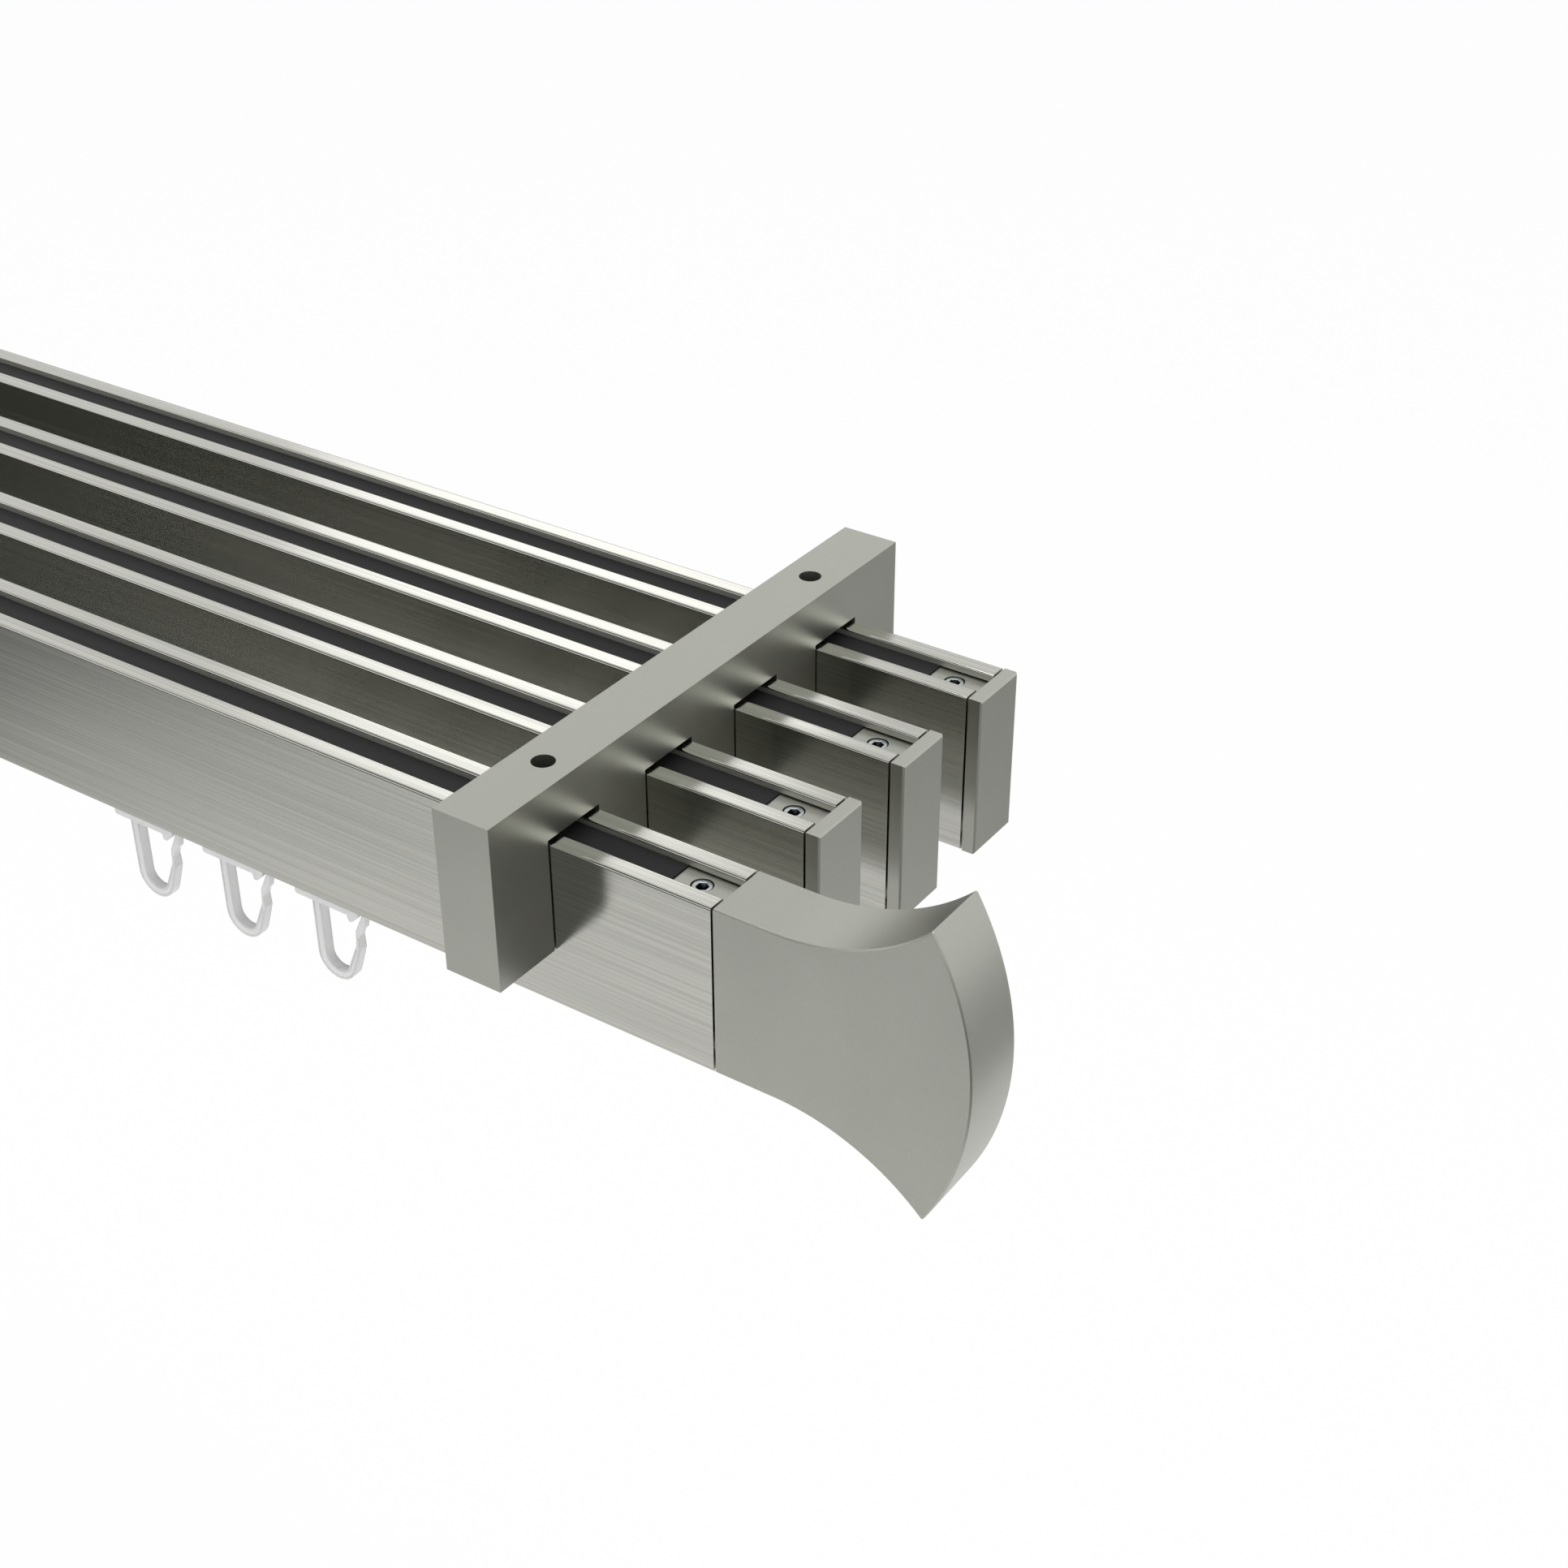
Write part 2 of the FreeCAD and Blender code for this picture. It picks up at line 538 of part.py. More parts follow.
def make_glider(rail, count):
    place = (
        "Dim.rail_length / 2 - Dim.glider_start - %d * Dim.glider_pitch" % (count - 1),
        rail_y(rail), "-(Dim.rail_drop + Dim.rail_height)")
    body = new_body("glider_%d_%d" % (rail, count), place)
    hook = draw_hook(new_sketch(body, "HookOutline", "XZ_Plane"))
    extrude(body, "Pad", "Hook", hook, "Dim.hook_depth", "Symmetric")

    half = "Dim.hook_depth / 2"
    for sign, name in (("-", "Front"), ("", "Back")):
        relief = new_sketch(body, name + "Relief", "YZ_Plane", "Dim.leg_width")
        corners = [
            (sign + "(%s)" % half, "-Dim.hook_reach + Dim.bend_outer"),
            (sign + "(%s + 1)" % half, "-Dim.hook_reach + Dim.bend_outer"),
            (sign + "(%s + 1)" % half, "-Dim.tip_drop + 1"),
            (sign + "(%s - Dim.arm_taper)" % half, "-Dim.tip_drop + 1")]
        draw(relief, corners)
        extrude(body, "Pocket", name + "Taper", relief, "Dim.tip_out", reverse=True)

    bar = draw_bar(new_sketch(body, "BarOutline", "XZ_Plane"))
    plate = extrude(body, "Pad", "Bar", bar, "Dim.hook_depth", "Symmetric")
    tooth_level = number("-(Dim.bar_drop + Dim.tooth_height)")

    def tooth_edge(edge):
        return along(edge, "y") and near(edge.Vertexes[0].Point.z, tooth_level)

    bevel(body, "ToothEdges", plate, tooth_edge, "Dim.tooth_edge")

    neck_x = "Dim.neck_length / 2"
    neck_y = "(Dim.slot_width / 2 - Dim.neck_side)"
    foot = "-(Dim.bar_drop - Dim.bar_height)"
    shank = new_sketch(body, "ShankSection", "YZ_Plane")
    draw(shank, [
        ("-" + half, foot), (half, foot), (neck_y, "-Dim.neck_drop"),
        ("-" + neck_y, "-Dim.neck_drop")])
    extrude(body, "Pad", "Shank", shank, "Dim.neck_length", "Symmetric")

    neck = new_sketch(body, "NeckSection", "XY_Plane", "-Dim.neck_drop")
    draw(neck, box_corners("-" + neck_x, neck_x, "-" + neck_y, neck_y))
    seat = "Dim.lip_thickness + Dim.glide_gap"
    extrude(body, "Pad", "Neck", neck, "Dim.neck_drop + " + seat)
    head_x = "Dim.head_length / 2"
    head_y = "(Dim.rail_width / 2 - Dim.rail_wall - Dim.head_side)"
    top = new_sketch(body, "HeadOutline", "XY_Plane", seat)
    draw(top, box_corners("-" + head_x, head_x, "-" + head_y, head_y))
    head = extrude(body, "Pad", "Head", top, "Dim.head_thickness")
    corner_x, corner_y = number(head_x), number(head_y)

    def head_corner(edge):
        point = edge.Vertexes[0].Point
        return along(edge, "z") and near(abs(point.x), corner_x) and near(abs(point.y), corner_y)

    bevel(body, "HeadCorners", head, head_corner, "Dim.head_corner")


for rail in rails:
    make_rail(rail)
    make_liner(rail)
make_bracket("bracket_right", "")
make_bracket("bracket_left", "-")
for side in ("right", "left"):
    make_finial(side)
    for rail in rails:
        if rail > 1:
            make_cap(side, rail)
        make_tongue_screw(side, rail)
        make_clamp_screw(side, rail)
for rail in rails:
    for count in gliders:
        make_glider(rail, count)
doc.recompute()

# Nothing is written unless every feature is sound and every cut has taken material away.
for thing in doc.Objects:
    if "Invalid" in thing.State or "Error" in thing.State:
        raise RuntimeError("failed: %s %s" % (thing.Label, thing.State))
    if thing.TypeId in ("PartDesign::Pocket", "PartDesign::Groove"):
        if thing.Shape.Volume > thing.BaseFeature.Shape.Volume - 1e-3:
            raise RuntimeError("cuts nothing: " + thing.Label)

os.makedirs("parts", exist_ok=True)
for body in bodies:
    shape = body.Shape
    if shape.isNull() or not shape.isValid() or len(shape.Solids) != 1:
        raise RuntimeError("bad shape: " + body.Label)
    shape.exportStep("parts/%s.step" % body.Label)
    print("%-22s %9.1f mm3" % (body.Label, shape.Volume))
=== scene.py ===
from math import cos, pi, radians, sin, tan

import bpy
from mathutils import Matrix, Vector


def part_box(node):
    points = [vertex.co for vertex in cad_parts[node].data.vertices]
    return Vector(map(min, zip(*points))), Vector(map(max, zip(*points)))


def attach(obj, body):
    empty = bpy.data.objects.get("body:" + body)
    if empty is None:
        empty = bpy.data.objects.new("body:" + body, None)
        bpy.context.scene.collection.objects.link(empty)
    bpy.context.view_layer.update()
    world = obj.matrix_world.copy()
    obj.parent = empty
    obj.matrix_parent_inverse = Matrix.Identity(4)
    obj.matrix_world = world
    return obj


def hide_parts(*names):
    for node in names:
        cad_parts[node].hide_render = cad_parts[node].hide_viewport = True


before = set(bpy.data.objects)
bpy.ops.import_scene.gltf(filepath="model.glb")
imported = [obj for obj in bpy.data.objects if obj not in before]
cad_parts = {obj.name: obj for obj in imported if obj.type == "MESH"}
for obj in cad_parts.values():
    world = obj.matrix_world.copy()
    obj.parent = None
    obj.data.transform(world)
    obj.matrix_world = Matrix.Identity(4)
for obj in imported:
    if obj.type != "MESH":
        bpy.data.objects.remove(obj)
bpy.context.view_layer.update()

# Photograph's camera: place in metres and its three directions, in the part's frame.
CAMERA_PLACE = Vector((0.69467, -0.31295, 0.22153))
CAMERA_RIGHT = Vector((0.82710, 0.56205, -0.00149))
CAMERA_UP = Vector((-0.30030, 0.44415, 0.84413))
CAMERA_BACK = Vector((0.47511, -0.69773, 0.53614))
CAMERA_LENS = 55.22
CAMERA_SENSOR = 36.0
CAMERA_NEAR = 0.01
CAMERA_FAR = 100.0

# White studio: the world as it lights the rod and as it is seen; the floor's depth below the
# rod, its width, its grey, its glow and the glow's share in it.
WORLD_LIGHT = 0.95
WORLD_WHITE = 1.0
FLOOR_DROP = 0.9
FLOOR_SIZE = 14.0
FLOOR_GREY = 0.9
FLOOR_GLOW = 1.0
FLOOR_SHARE = 0.86

# Felt walls round the rod: name, from and to in degrees about it, distance, lowest and highest
# elevation as seen from it, and grey.
FLAG_CENTRE = Vector((0.35, 0, 0))
FLAG_STEPS = 24
FLAGS = (
    ("front_left", 195, 268, 1.46, -30, -5, 0.115),
    ("front_right", 268, 345, 0.95, -42, -5, 0.15),
    ("back_right", 15, 85, 1.18, -36, -12, 0.42),
    ("back_left", 100, 195, 1.23, -35, 9, 0.12),
    ("front_high", 195, 265, 0.70, 35, 62, 0.03),
    ("back_high", 100, 150, 1.00, 43, 49, 0.06))

# Round softboxes: name, place, point aimed at, diameter in metres, watts, and the start of the
# names of the only nodes it lights, if any.
LAMPS = (
    ("top_softbox", (0.1, -0.3, 1.9), (0.35, 0, 0), 1.0, 14, None),
    ("back_softbox", (-0.48, 1.10, 0.72), (0.40, 0.03, 0), 0.5, 0.74, "rail"),
    ("side_softbox", (1.34, 1.10, 0.72), (0.46, 0.03, 0), 0.6, 1.5, "rail"))

RAIL_METAL = (0.498, 0.499, 0.457, 1)
SATIN_METAL = (0.445, 0.450, 0.404, 1)
SCREW_METAL = (0.56, 0.61, 0.62, 1)
LINER_DARK = (0.012, 0.012, 0.0125, 1)
GLIDER_WHITE = (0.90, 0.90, 0.90, 1)

# Sockets of a mix node that mixes colours.
MIX_FIRST = 6
MIX_SECOND = 7
MIX_RESULT = 2

# Where the rails' finish changes: distance between rails, a little over half a slot's width,
# and the least product of a normal's Y and Z on a rounded or bevelled edge.
RAIL_PITCH = 0.028
SLOT_HALF = 0.0033
ROUNDING_SLANT = 0.05

# Tongue screw in millimetres from its top: radius and height of each ring, round ones first
# and then those of the hexagon socket, and the height of the socket's deepest point.
SCREW_ROUND = ((1.7, -3.0), (2.0, -2.7), (2.0, -0.22), (1.8, 0.0))
SCREW_SOCKET = ((1.16, 0.0), (1.06, -0.1), (1.06, -1.5))
SCREW_TIP = -1.95
SCREW_STEPS = 48

# Hook's rims in millimetres from the glider's own origin, which is on the rail's underside:
# straight leg, bend about a centre, its radius and last angle, and points of the leaning arm.
RIM_OUTER = (-3.68, (1.0, -19.3), 4.68, 341.0, ((7.12, -16.0), (7.55, -14.5), (7.48, -12.2)))
RIM_INNER = (-1.95, (1.39, -19.02), 3.34, 337.5, ((6.62, -15.3),))
RIM_TOP = -7.3
RIM_STEPS = 20

# Also in millimetres: a rim's radius and how deep its middle lies in the hook's face, the
# hook's half width and how it tapers along the arm, and the way from the origin to the end
# of the glider's bar. The underside of the rails is in metres, as in the frame.
RIM_SIZE = 0.17
RIM_SUNK = 0.04
HOOK_HALF_WIDTH = 1.0
ARM_START = -19.3
ARM_RISE = 14.4
ARM_TAPER = 0.35
BAR_REACH = 10.0
RAILS_UNDERSIDE = -0.04625


def empty_material(name):
    """A node material with nothing but its output; returns both."""
    material = bpy.data.materials.new(name)
    material.use_nodes = True
    nodes = material.node_tree.nodes
    nodes.clear()
    return material, nodes.new("ShaderNodeOutputMaterial")


def new_material(name):
    """A node material with a principled shader; returns both."""
    material, output = empty_material(name)
    tree = material.node_tree
    shader = tree.nodes.new("ShaderNodeBsdfPrincipled")
    tree.links.new(shader.outputs["BSDF"], output.inputs["Surface"])
    return material, shader


def noise(tree, scale=1.0, stretch=(1, 1, 1), detail=2.0):
    """Noise in the part's own metres, stretched along its axes."""
    coordinates = tree.nodes.new("ShaderNodeTexCoord")
    mapping = tree.nodes.new("ShaderNodeMapping")
    mapping.inputs["Scale"].default_value = stretch
    texture = tree.nodes.new("ShaderNodeTexNoise")
    texture.inputs["Scale"].default_value = scale
    texture.inputs["Detail"].default_value = detail
    tree.links.new(coordinates.outputs["Object"], mapping.inputs["Vector"])
    tree.links.new(mapping.outputs["Vector"], texture.inputs["Vector"])
    return texture.outputs["Fac"]


def spread(tree, source, low, high):
    """Maps the middle of a noise to a range of numbers."""
    ramp = tree.nodes.new("ShaderNodeMapRange")
    ramp.inputs["From Min"].default_value = 0.3
    ramp.inputs["From Max"].default_value = 0.7
    ramp.inputs["To Min"].default_value = low
    ramp.inputs["To Max"].default_value = high
    tree.links.new(source, ramp.inputs["Value"])
    return ramp.outputs["Result"]


def shade(tree, source, color, amount):
    """The colour made a little darker and lighter by a noise."""
    mix = tree.nodes.new("ShaderNodeMix")
    mix.data_type = "RGBA"
    for socket, change in ((MIX_FIRST, 1 - amount), (MIX_SECOND, 1 + amount)):
        mix.inputs[socket].default_value = [min(channel * change, 1) for channel in color[:3]] + [1]
    tree.links.new(spread(tree, source, low=0, high=1), mix.inputs[0])
    return mix.outputs[MIX_RESULT]


def bump(tree, source, strength, distance, edge=0.0):
    """Bump from a noise, over edges softened by a bevel where a radius is given."""
    relief = tree.nodes.new("ShaderNodeBump")
    relief.inputs["Strength"].default_value = strength
    relief.inputs["Distance"].default_value = distance
    tree.links.new(source, relief.inputs["Height"])
    if edge:
        bevel = tree.nodes.new("ShaderNodeBevel")
        bevel.samples = 6
        bevel.inputs["Radius"].default_value = edge
        tree.links.new(bevel.outputs["Normal"], relief.inputs["Normal"])
    return relief.outputs["Normal"]


def maths(tree, operation, first, second=0.0):
    """One sum on an output and a number or another output."""
    node = tree.nodes.new("ShaderNodeMath")
    node.operation = operation
    tree.links.new(first, node.inputs[0])
    if isinstance(second, float):
        node.inputs[1].default_value = second
    else:
        tree.links.new(second, node.inputs[1])
    return node.outputs[0]


def axes_of(tree, coordinates):
    """X, Y and Z of the surface's point or normal, in the part's frame."""
    source = tree.nodes.new("ShaderNodeTexCoord")
    axes = tree.nodes.new("ShaderNodeSeparateXYZ")
    tree.links.new(source.outputs[coordinates], axes.inputs[0])
    return axes.outputs


def outside_slot(tree):
    """0 on the walls of the rails' slots and between them, where nothing is brushed, or else 1."""
    moved = maths(tree, "ADD", axes_of(tree, "Object")["Y"], 2 * RAIL_PITCH)
    inside = maths(tree, "MODULO", moved, RAIL_PITCH)
    centred = maths(tree, "SUBTRACT", inside, RAIL_PITCH / 2)
    return maths(tree, "GREATER_THAN", maths(tree, "ABSOLUTE", centred), SLOT_HALF)


def off_roundings(tree, share):
    """1 on the rails' flat faces, and less by a share on their edges, which aren't brushed."""
    normal = axes_of(tree, "Normal")
    slant = maths(tree, "MULTIPLY", normal["Y"], normal["Z"])
    rounded = maths(tree, "GREATER_THAN", maths(tree, "ABSOLUTE", slant), ROUNDING_SLANT)
    return maths(tree, "ADD", maths(tree, "MULTIPLY", rounded, -share), 1.0)


def brushed_metal(wall_blur=0.36, edge_gloss=0.6, blur_across=0.8):
    """Anodised rail: fine brush lines along the rail, sharp along them and blurred across."""
    material, shader = new_material("brushed_rail")
    tree = material.node_tree
    lines = noise(tree, stretch=(11, 2100, 2100), detail=0.0)
    clouds = noise(tree, stretch=(9, 60, 60))
    brushed = outside_slot(tree)
    walls = maths(tree, "SUBTRACT", brushed, 1.0)
    rough = maths(tree, "MULTIPLY", walls, -wall_blur)
    rough = maths(tree, "ADD", rough, spread(tree, clouds, low=0.18, high=0.21))
    rough = maths(tree, "MULTIPLY", rough, off_roundings(tree, edge_gloss))
    blurred = maths(tree, "MULTIPLY", brushed, off_roundings(tree, 1.0))
    blurred = maths(tree, "MULTIPLY", blurred, blur_across)
    relief = bump(tree, clouds, strength=0.1, distance=0.00003)
    tangent = tree.nodes.new("ShaderNodeCombineXYZ")
    tangent.inputs["X"].default_value = 1.0
    tree.links.new(shade(tree, lines, RAIL_METAL, amount=0.08), shader.inputs["Base Color"])
    tree.links.new(rough, shader.inputs["Roughness"])
    tree.links.new(blurred, shader.inputs["Anisotropic"])
    tree.links.new(relief, shader.inputs["Normal"])
    tree.links.new(tangent.outputs["Vector"], shader.inputs["Tangent"])
    shader.inputs["Metallic"].default_value = 1.0
    shader.inputs["Anisotropic Rotation"].default_value = 0.25
    return material


def satin_metal():
    """Matt nickel of the brackets and end pieces, with a very fine grain."""
    material, shader = new_material("satin_nickel")
    tree = material.node_tree
    grain = noise(tree, scale=2600.0)
    clouds = noise(tree, scale=45.0)
    relief = bump(tree, grain, strength=0.05, distance=0.00002, edge=0.00008)
    tree.links.new(shade(tree, grain, SATIN_METAL, amount=0.025), shader.inputs["Base Color"])
    tree.links.new(spread(tree, clouds, low=0.35, high=0.39), shader.inputs["Roughness"])
    tree.links.new(relief, shader.inputs["Normal"])
    shader.inputs["Metallic"].default_value = 1.0
    return material


def screw_metal(painted_shade_depth=0.002, painted_shade_share=0.93):
    """Zinc-plated steel of the grub screws, with a fine grain and painted shade that darkens the
    colour in the socket and other recesses.
    """
    material, shader = new_material("screw_steel")
    tree = material.node_tree
    grain = noise(tree, scale=5000.0)
    relief = bump(tree, grain, strength=0.08, distance=0.00002, edge=0.00006)
    # Painted shade: ambient occlusion darkens the base colour in the socket and other recesses.
    painted_shade = tree.nodes.new("ShaderNodeAmbientOcclusion")
    painted_shade.inputs["Distance"].default_value = painted_shade_depth
    tree.links.new(shade(tree, grain, SCREW_METAL, amount=0.08), painted_shade.inputs["Color"])
    # Multiplies the screw's colour by the painted shade from the ambient occlusion.
    darker = tree.nodes.new("ShaderNodeMix")
    darker.data_type = "RGBA"
    darker.blend_type = "MULTIPLY"
    darker.inputs[0].default_value = painted_shade_share
    tree.links.new(painted_shade.outputs["Color"], darker.inputs[MIX_FIRST])
    tree.links.new(painted_shade.outputs["AO"], darker.inputs[MIX_SECOND])
    tree.links.new(darker.outputs[MIX_RESULT], shader.inputs["Base Color"])
    tree.links.new(spread(tree, grain, low=0.18, high=0.30), shader.inputs["Roughness"])
    tree.links.new(relief, shader.inputs["Normal"])
    shader.inputs["Metallic"].default_value = 1.0
    return material


def liner_plastic():
    """Dark extruded strip with faint lines along the rail."""
    material, shader = new_material("dark_liner")
    tree = material.node_tree
    lines = noise(tree, stretch=(25, 1500, 1500), detail=3.0)
    relief = bump(tree, lines, strength=0.05, distance=0.00002)
    tree.links.new(shade(tree, lines, LINER_DARK, amount=0.10), shader.inputs["Base Color"])
    tree.links.new(spread(tree, lines, low=0.55, high=0.65), shader.inputs["Roughness"])
    tree.links.new(relief, shader.inputs["Normal"])
    shader.inputs["Specular IOR Level"].default_value = 0.2
    return material


def glider_plastic():
    """Translucent white moulded plastic."""
    material, shader = new_material("white_glider")
    tree = material.node_tree
    flow = noise(tree, scale=380.0)
    relief = bump(tree, flow, strength=0.04, distance=0.00005, edge=0.00025)
    tree.links.new(shade(tree, flow, GLIDER_WHITE, amount=0.02), shader.inputs["Base Color"])
    tree.links.new(spread(tree, flow, low=0.28, high=0.38), shader.inputs["Roughness"])
    tree.links.new(relief, shader.inputs["Normal"])
    shader.inputs["Subsurface Weight"].default_value = 0.5
    shader.inputs["Subsurface Radius"].default_value = (0.0012, 0.0012, 0.0013)
    shader.inputs["Subsurface Scale"].default_value = 1.0
    shader.inputs["Transmission Weight"].default_value = 0.2
    shader.inputs["Specular IOR Level"].default_value = 0.3
    return material


# Material of each node, by the start of its name.
MATERIALS = {
    "rail": brushed_metal(),
    "liner": liner_plastic(),
    "bracket": satin_metal(),
    "tongue_screw": screw_metal(),
    "glider": glider_plastic(),
}
MATERIALS["finial"] = MATERIALS["bracket"]
MATERIALS["end_cap"] = MATERIALS["bracket"]
MATERIALS["clamp_screw"] = MATERIALS["tongue_screw"]

for name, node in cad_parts.items():
    for prefix, material in MATERIALS.items():
        if name.startswith(prefix):
            node.data.materials.clear()
            node.data.materials.append(material)


def dress(name, mesh, body, material):
    """A piece from a mesh or a curve, riding on a body."""
    piece = bpy.data.objects.new(name, mesh)
    bpy.context.collection.objects.link(piece)
    mesh.materials.append(material)
    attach(piece, body)
    return piece


def hexagon(size, turn):
    """Distance from the middle to a hexagon's edge, in a direction."""
    return size / cos((turn + pi / 6) % (pi / 3) - pi / 6)


def make_tongue_screw(node):
    """Grub screw with bevelled rims and a hexagon socket, in the place of its CAD node."""
    low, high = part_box(node)
    middle = Vector(((low[0] + high[0]) / 2, (low[1] + high[1]) / 2, high[2]))
    turns = [2 * pi * step / SCREW_STEPS for step in range(SCREW_STEPS)]
    rings = [([size] * SCREW_STEPS, level) for size, level in SCREW_ROUND]
    rings += [([hexagon(size, turn) for turn in turns], level) for size, level in SCREW_SOCKET]
    points = []
    for sizes, level in rings:
        for size, turn in zip(sizes, turns):
            points.append(middle + Vector((size * cos(turn), size * sin(turn), level)) / 1000)
    faces = []
    last = (len(rings) - 1) * SCREW_STEPS
    for ring in range(0, last, SCREW_STEPS):
        for step in range(SCREW_STEPS):
            here = ring + step
            following = ring + (step + 1) % SCREW_STEPS
            faces.append((here, following, following + SCREW_STEPS, here + SCREW_STEPS))
    deepest = len(points)
    points.append(middle + Vector((0, 0, SCREW_TIP)) / 1000)
    faces += [(last + step, last + (step + 1) % SCREW_STEPS, deepest) for step in range(SCREW_STEPS)]
    faces.append(tuple(reversed(range(SCREW_STEPS))))
    mesh = bpy.data.meshes.new("visual_" + node)
    mesh.from_pydata(points, [], faces)
    piece = dress("visual_" + node, mesh, "rod", MATERIALS["tongue_screw"])
    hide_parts(node)


def rim_path(rim):
    """Points of one rim of the hook, in millimetres across and up."""
    side, centre, radius, last, arm = rim
    path = [(side, RIM_TOP), (side, centre[1])]
    for step in range(1, RIM_STEPS + 1):
        turn = radians(180 + (last - 180) * step / RIM_STEPS)
        path.append((centre[0] + radius * cos(turn), centre[1] + radius * sin(turn)))
    return path + list(arm)


def make_hook_rims(node):
    """Two thin rims on each face of a hook, with the shallow groove between them."""
    low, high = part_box(node)
    middle = (low[1] + high[1]) / 2
    curve = bpy.data.curves.new(node.replace("glider", "hook_rims"), "CURVE")
    curve.dimensions = "3D"
    curve.bevel_depth = RIM_SIZE / 1000
    curve.bevel_resolution = 2
    curve.use_fill_caps = True
    for face in (-1, 1):
        for rim in (RIM_OUTER, RIM_INNER):
            path = rim_path(rim)
            spline = curve.splines.new("POLY")
            spline.points.add(len(path) - 1)
            for point, (across, up) in zip(spline.points, path):
                taper = ARM_TAPER * max(up - ARM_START, 0) / ARM_RISE if across > 0 else 0
                depth = face * (HOOK_HALF_WIDTH - taper - RIM_SUNK)
                point.co = (
                    high[0] + (across - BAR_REACH) / 1000, middle + depth / 1000,
                    RAILS_UNDERSIDE + up / 1000, 1)
    dress(curve.name, curve, node + "_body", MATERIALS["glider"])


def background_white(tree, plain, white):
    """The white shader for camera, mirror and glass rays, and the plain one for all others."""
    path = tree.nodes.new("ShaderNodeLightPath")
    seen = path.outputs["Is Camera Ray"]
    for ray in ("Is Glossy Ray", "Is Transmission Ray"):
        seen = maths(tree, "MAXIMUM", seen, path.outputs[ray])
    mix = tree.nodes.new("ShaderNodeMixShader")
    tree.links.new(seen, mix.inputs[0])
    tree.links.new(plain.outputs[0], mix.inputs[1])
    tree.links.new(white.outputs[0], mix.inputs[2])
    return mix


def make_world():
    """Even light from all sides, on a white background."""
    world = bpy.data.worlds.new("studio")
    world.use_nodes = True
    tree = world.node_tree
    tree.nodes.clear()
    output = tree.nodes.new("ShaderNodeOutputWorld")
    shaders = []
    for strength in (WORLD_LIGHT, WORLD_WHITE):
        shader = tree.nodes.new("ShaderNodeBackground")
        shader.inputs["Color"].default_value = (1, 1, 1, 1)
        shader.inputs["Strength"].default_value = strength
        shaders.append(shader)
    mix = background_white(tree, *shaders)
    tree.links.new(mix.outputs[0], output.inputs["Surface"])
    bpy.context.scene.world = world


def make_floor():
    """Pale floor far below the rod; it stays white and keeps the rod's soft shadow."""
    bpy.ops.mesh.primitive_plane_add(size=FLOOR_SIZE, location=(0, 0, -FLOOR_DROP))
    floor = bpy.context.object
    floor.name = "floor"
    material, output = empty_material("pale_floor")
    tree = material.node_tree
    plain = tree.nodes.new("ShaderNodeBsdfDiffuse")
    plain.inputs["Color"].default_value = (FLOOR_GREY, FLOOR_GREY, FLOOR_GREY, 1)
    glow = tree.nodes.new("ShaderNodeEmission")
    glow.inputs["Color"].default_value = (1, 1, 1, 1)
    glow.inputs["Strength"].default_value = FLOOR_GLOW
    blend = tree.nodes.new("ShaderNodeMixShader")
    blend.inputs[0].default_value = FLOOR_SHARE
    tree.links.new(plain.outputs[0], blend.inputs[1])
    tree.links.new(glow.outputs[0], blend.inputs[2])
    mix = background_white(tree, plain, blend)
    tree.links.new(mix.outputs[0], output.inputs["Surface"])
    floor.data.materials.append(material)


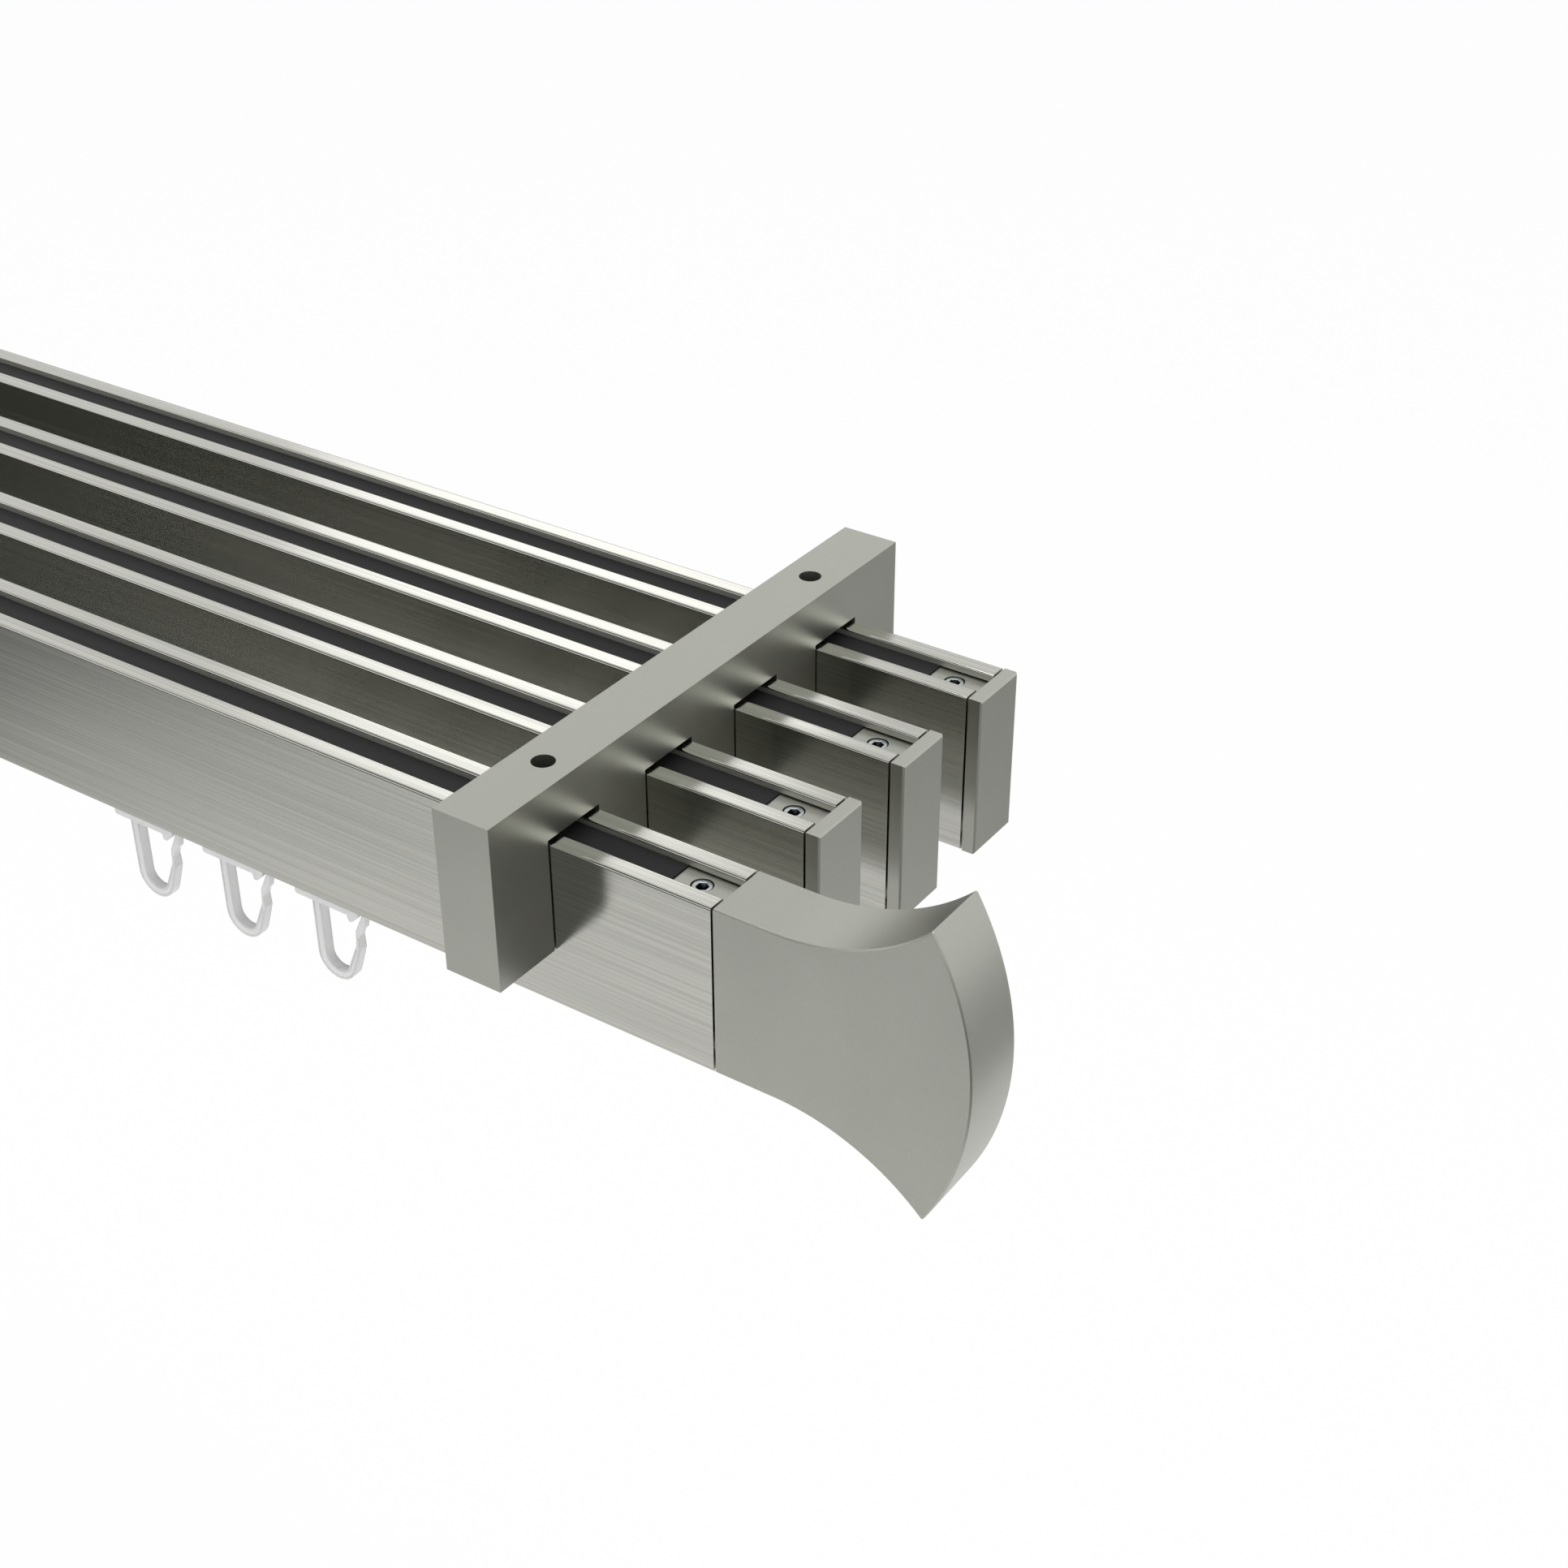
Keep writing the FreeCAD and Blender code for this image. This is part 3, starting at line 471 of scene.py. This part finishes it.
def make_flag(name, start, end, radius, low, high, grey):
    """Dark wall off camera, which shades the metal's reflections as studio felt does."""
    bottom = Vector((0, 0, radius * tan(radians(low))))
    top = Vector((0, 0, radius * tan(radians(high))))
    points = []
    for step in range(FLAG_STEPS + 1):
        turn = radians(start + (end - start) * step / FLAG_STEPS)
        place = FLAG_CENTRE + Vector((radius * cos(turn), radius * sin(turn), 0))
        points += [place + bottom, place + top]
    faces = [(2 * step, 2 * step + 2, 2 * step + 3, 2 * step + 1) for step in range(FLAG_STEPS)]
    mesh = bpy.data.meshes.new("flag_" + name)
    mesh.from_pydata(points, [], faces)
    flag = bpy.data.objects.new("flag_" + name, mesh)
    bpy.context.collection.objects.link(flag)
    material, shader = new_material("felt_" + name)
    shader.inputs["Base Color"].default_value = (grey, grey, grey, 1)
    shader.inputs["Roughness"].default_value = 1.0
    shader.inputs["Specular IOR Level"].default_value = 0.0
    mesh.materials.append(material)
    flag.visible_camera = False
    flag.visible_diffuse = False
    flag.visible_shadow = False


def make_lamp(name, place, aim, size, power, lit):
    """Round softbox; with a start of names, it lights those nodes only."""
    data = bpy.data.lights.new(name, "AREA")
    data.shape = "DISK"
    data.size = size
    data.energy = power
    lamp = bpy.data.objects.new(name, data)
    bpy.context.collection.objects.link(lamp)
    lamp.location = place
    lamp.rotation_euler = (Vector(aim) - Vector(place)).to_track_quat("-Z", "Y").to_euler()
    if lit:
        receivers = bpy.data.collections.new(name + "_lights")
        for node_name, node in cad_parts.items():
            if node_name.startswith(lit):
                receivers.objects.link(node)
        lamp.light_linking.receiver_collection = receivers


def make_camera():
    """Camera in the place and with the lens that were fitted to the photograph."""
    data = bpy.data.cameras.new("photo_camera")
    data.sensor_width = CAMERA_SENSOR
    data.lens = CAMERA_LENS
    data.clip_start = CAMERA_NEAR
    data.clip_end = CAMERA_FAR
    camera = bpy.data.objects.new("photo_camera", data)
    bpy.context.collection.objects.link(camera)
    columns = (CAMERA_RIGHT, CAMERA_UP, CAMERA_BACK, CAMERA_PLACE)
    rows = [[column[row] for column in columns] for row in range(3)]
    camera.matrix_world = Matrix(rows + [[0, 0, 0, 1]])
    bpy.context.scene.camera = camera


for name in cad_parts:
    if name.startswith("tongue_screw"):
        make_tongue_screw(name)
    elif name.startswith("glider"):
        make_hook_rims(name)

make_world()
make_floor()
for flag in FLAGS:
    make_flag(*flag)
make_camera()
for lamp in LAMPS:
    make_lamp(*lamp)
bpy.context.scene.view_settings.view_transform = "Standard"
